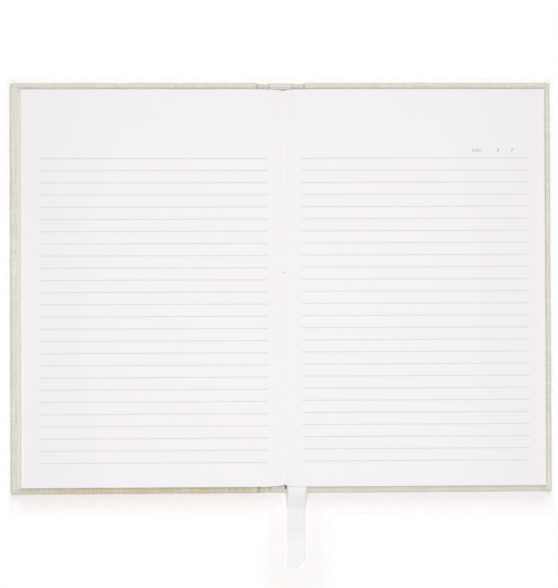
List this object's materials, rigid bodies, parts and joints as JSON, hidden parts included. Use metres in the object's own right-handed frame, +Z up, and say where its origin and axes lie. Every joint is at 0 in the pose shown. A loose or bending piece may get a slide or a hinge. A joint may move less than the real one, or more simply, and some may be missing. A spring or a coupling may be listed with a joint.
{
  "type": "open hardcover ruled notebook",
  "caption": "Cloth-bound ruled notebook lying open near its middle, with a date field, a ribbon marker past the tail and covers that hinge at the grooves beside the spine.",
  "frame": {"origin": "on the table, under the middle of the spine: halfway along the notebook's height and halfway between the two covers' hinge lines", "axes": "+X across the opening towards the back cover's fore-edge, +Y towards the head (top) of the pages, +Z up out of the open pages"},
  "size_m": [0.287, 0.2577, 0.0097],
  "materials": {
    "page_paper": "smooth uncoated white writing paper, cut edges slightly creamier",
    "rule_ink": "faint lavender grey ruling printed on the page",
    "mark_ink": "small grey print",
    "sewing_thread": "white waxed linen thread",
    "band_cotton": "cream cotton band",
    "lining_kraft": "kraft paper",
    "ribbon_satin": "white satin ribbon, soft sheen",
    "greyboard": "pressed grey board",
    "cover_linen": "natural linen bookcloth, slubby plain weave, matt",
    "endpaper": "plain off-white endpaper"
  },
  "bodies": {
    "book_block": {"text_block": "page_paper", "ruled_lines_left": "rule_ink", "ruled_lines_right": "rule_ink", "date_marks": "mark_ink", "sewing_thread": "sewing_thread", "head_band": "band_cotton", "tail_band": "band_cotton", "spine_lining": "lining_kraft", "ribbon_marker": "ribbon_satin", "spine_board": "greyboard", "spine_cloth": "cover_linen"},
    "front_cover": {"front_board": "greyboard", "front_cover_cloth": "cover_linen", "front_pastedown": "endpaper"},
    "back_cover": {"back_board": "greyboard", "back_cover_cloth": "cover_linen", "back_pastedown": "endpaper"}
  },
  "joints": [
    {"name": "front_cover_hinge", "type": "hinge", "parent": "book_block", "child": "front_cover", "pos_m": [-0.0095, 0, 0], "axis": [0, -1, 0], "range_deg": [0, 90]},
    {"name": "back_cover_hinge", "type": "hinge", "parent": "book_block", "child": "back_cover", "pos_m": [0.0095, 0, 0], "axis": [0, 1, 0], "range_deg": [0, 90]}
  ]
}
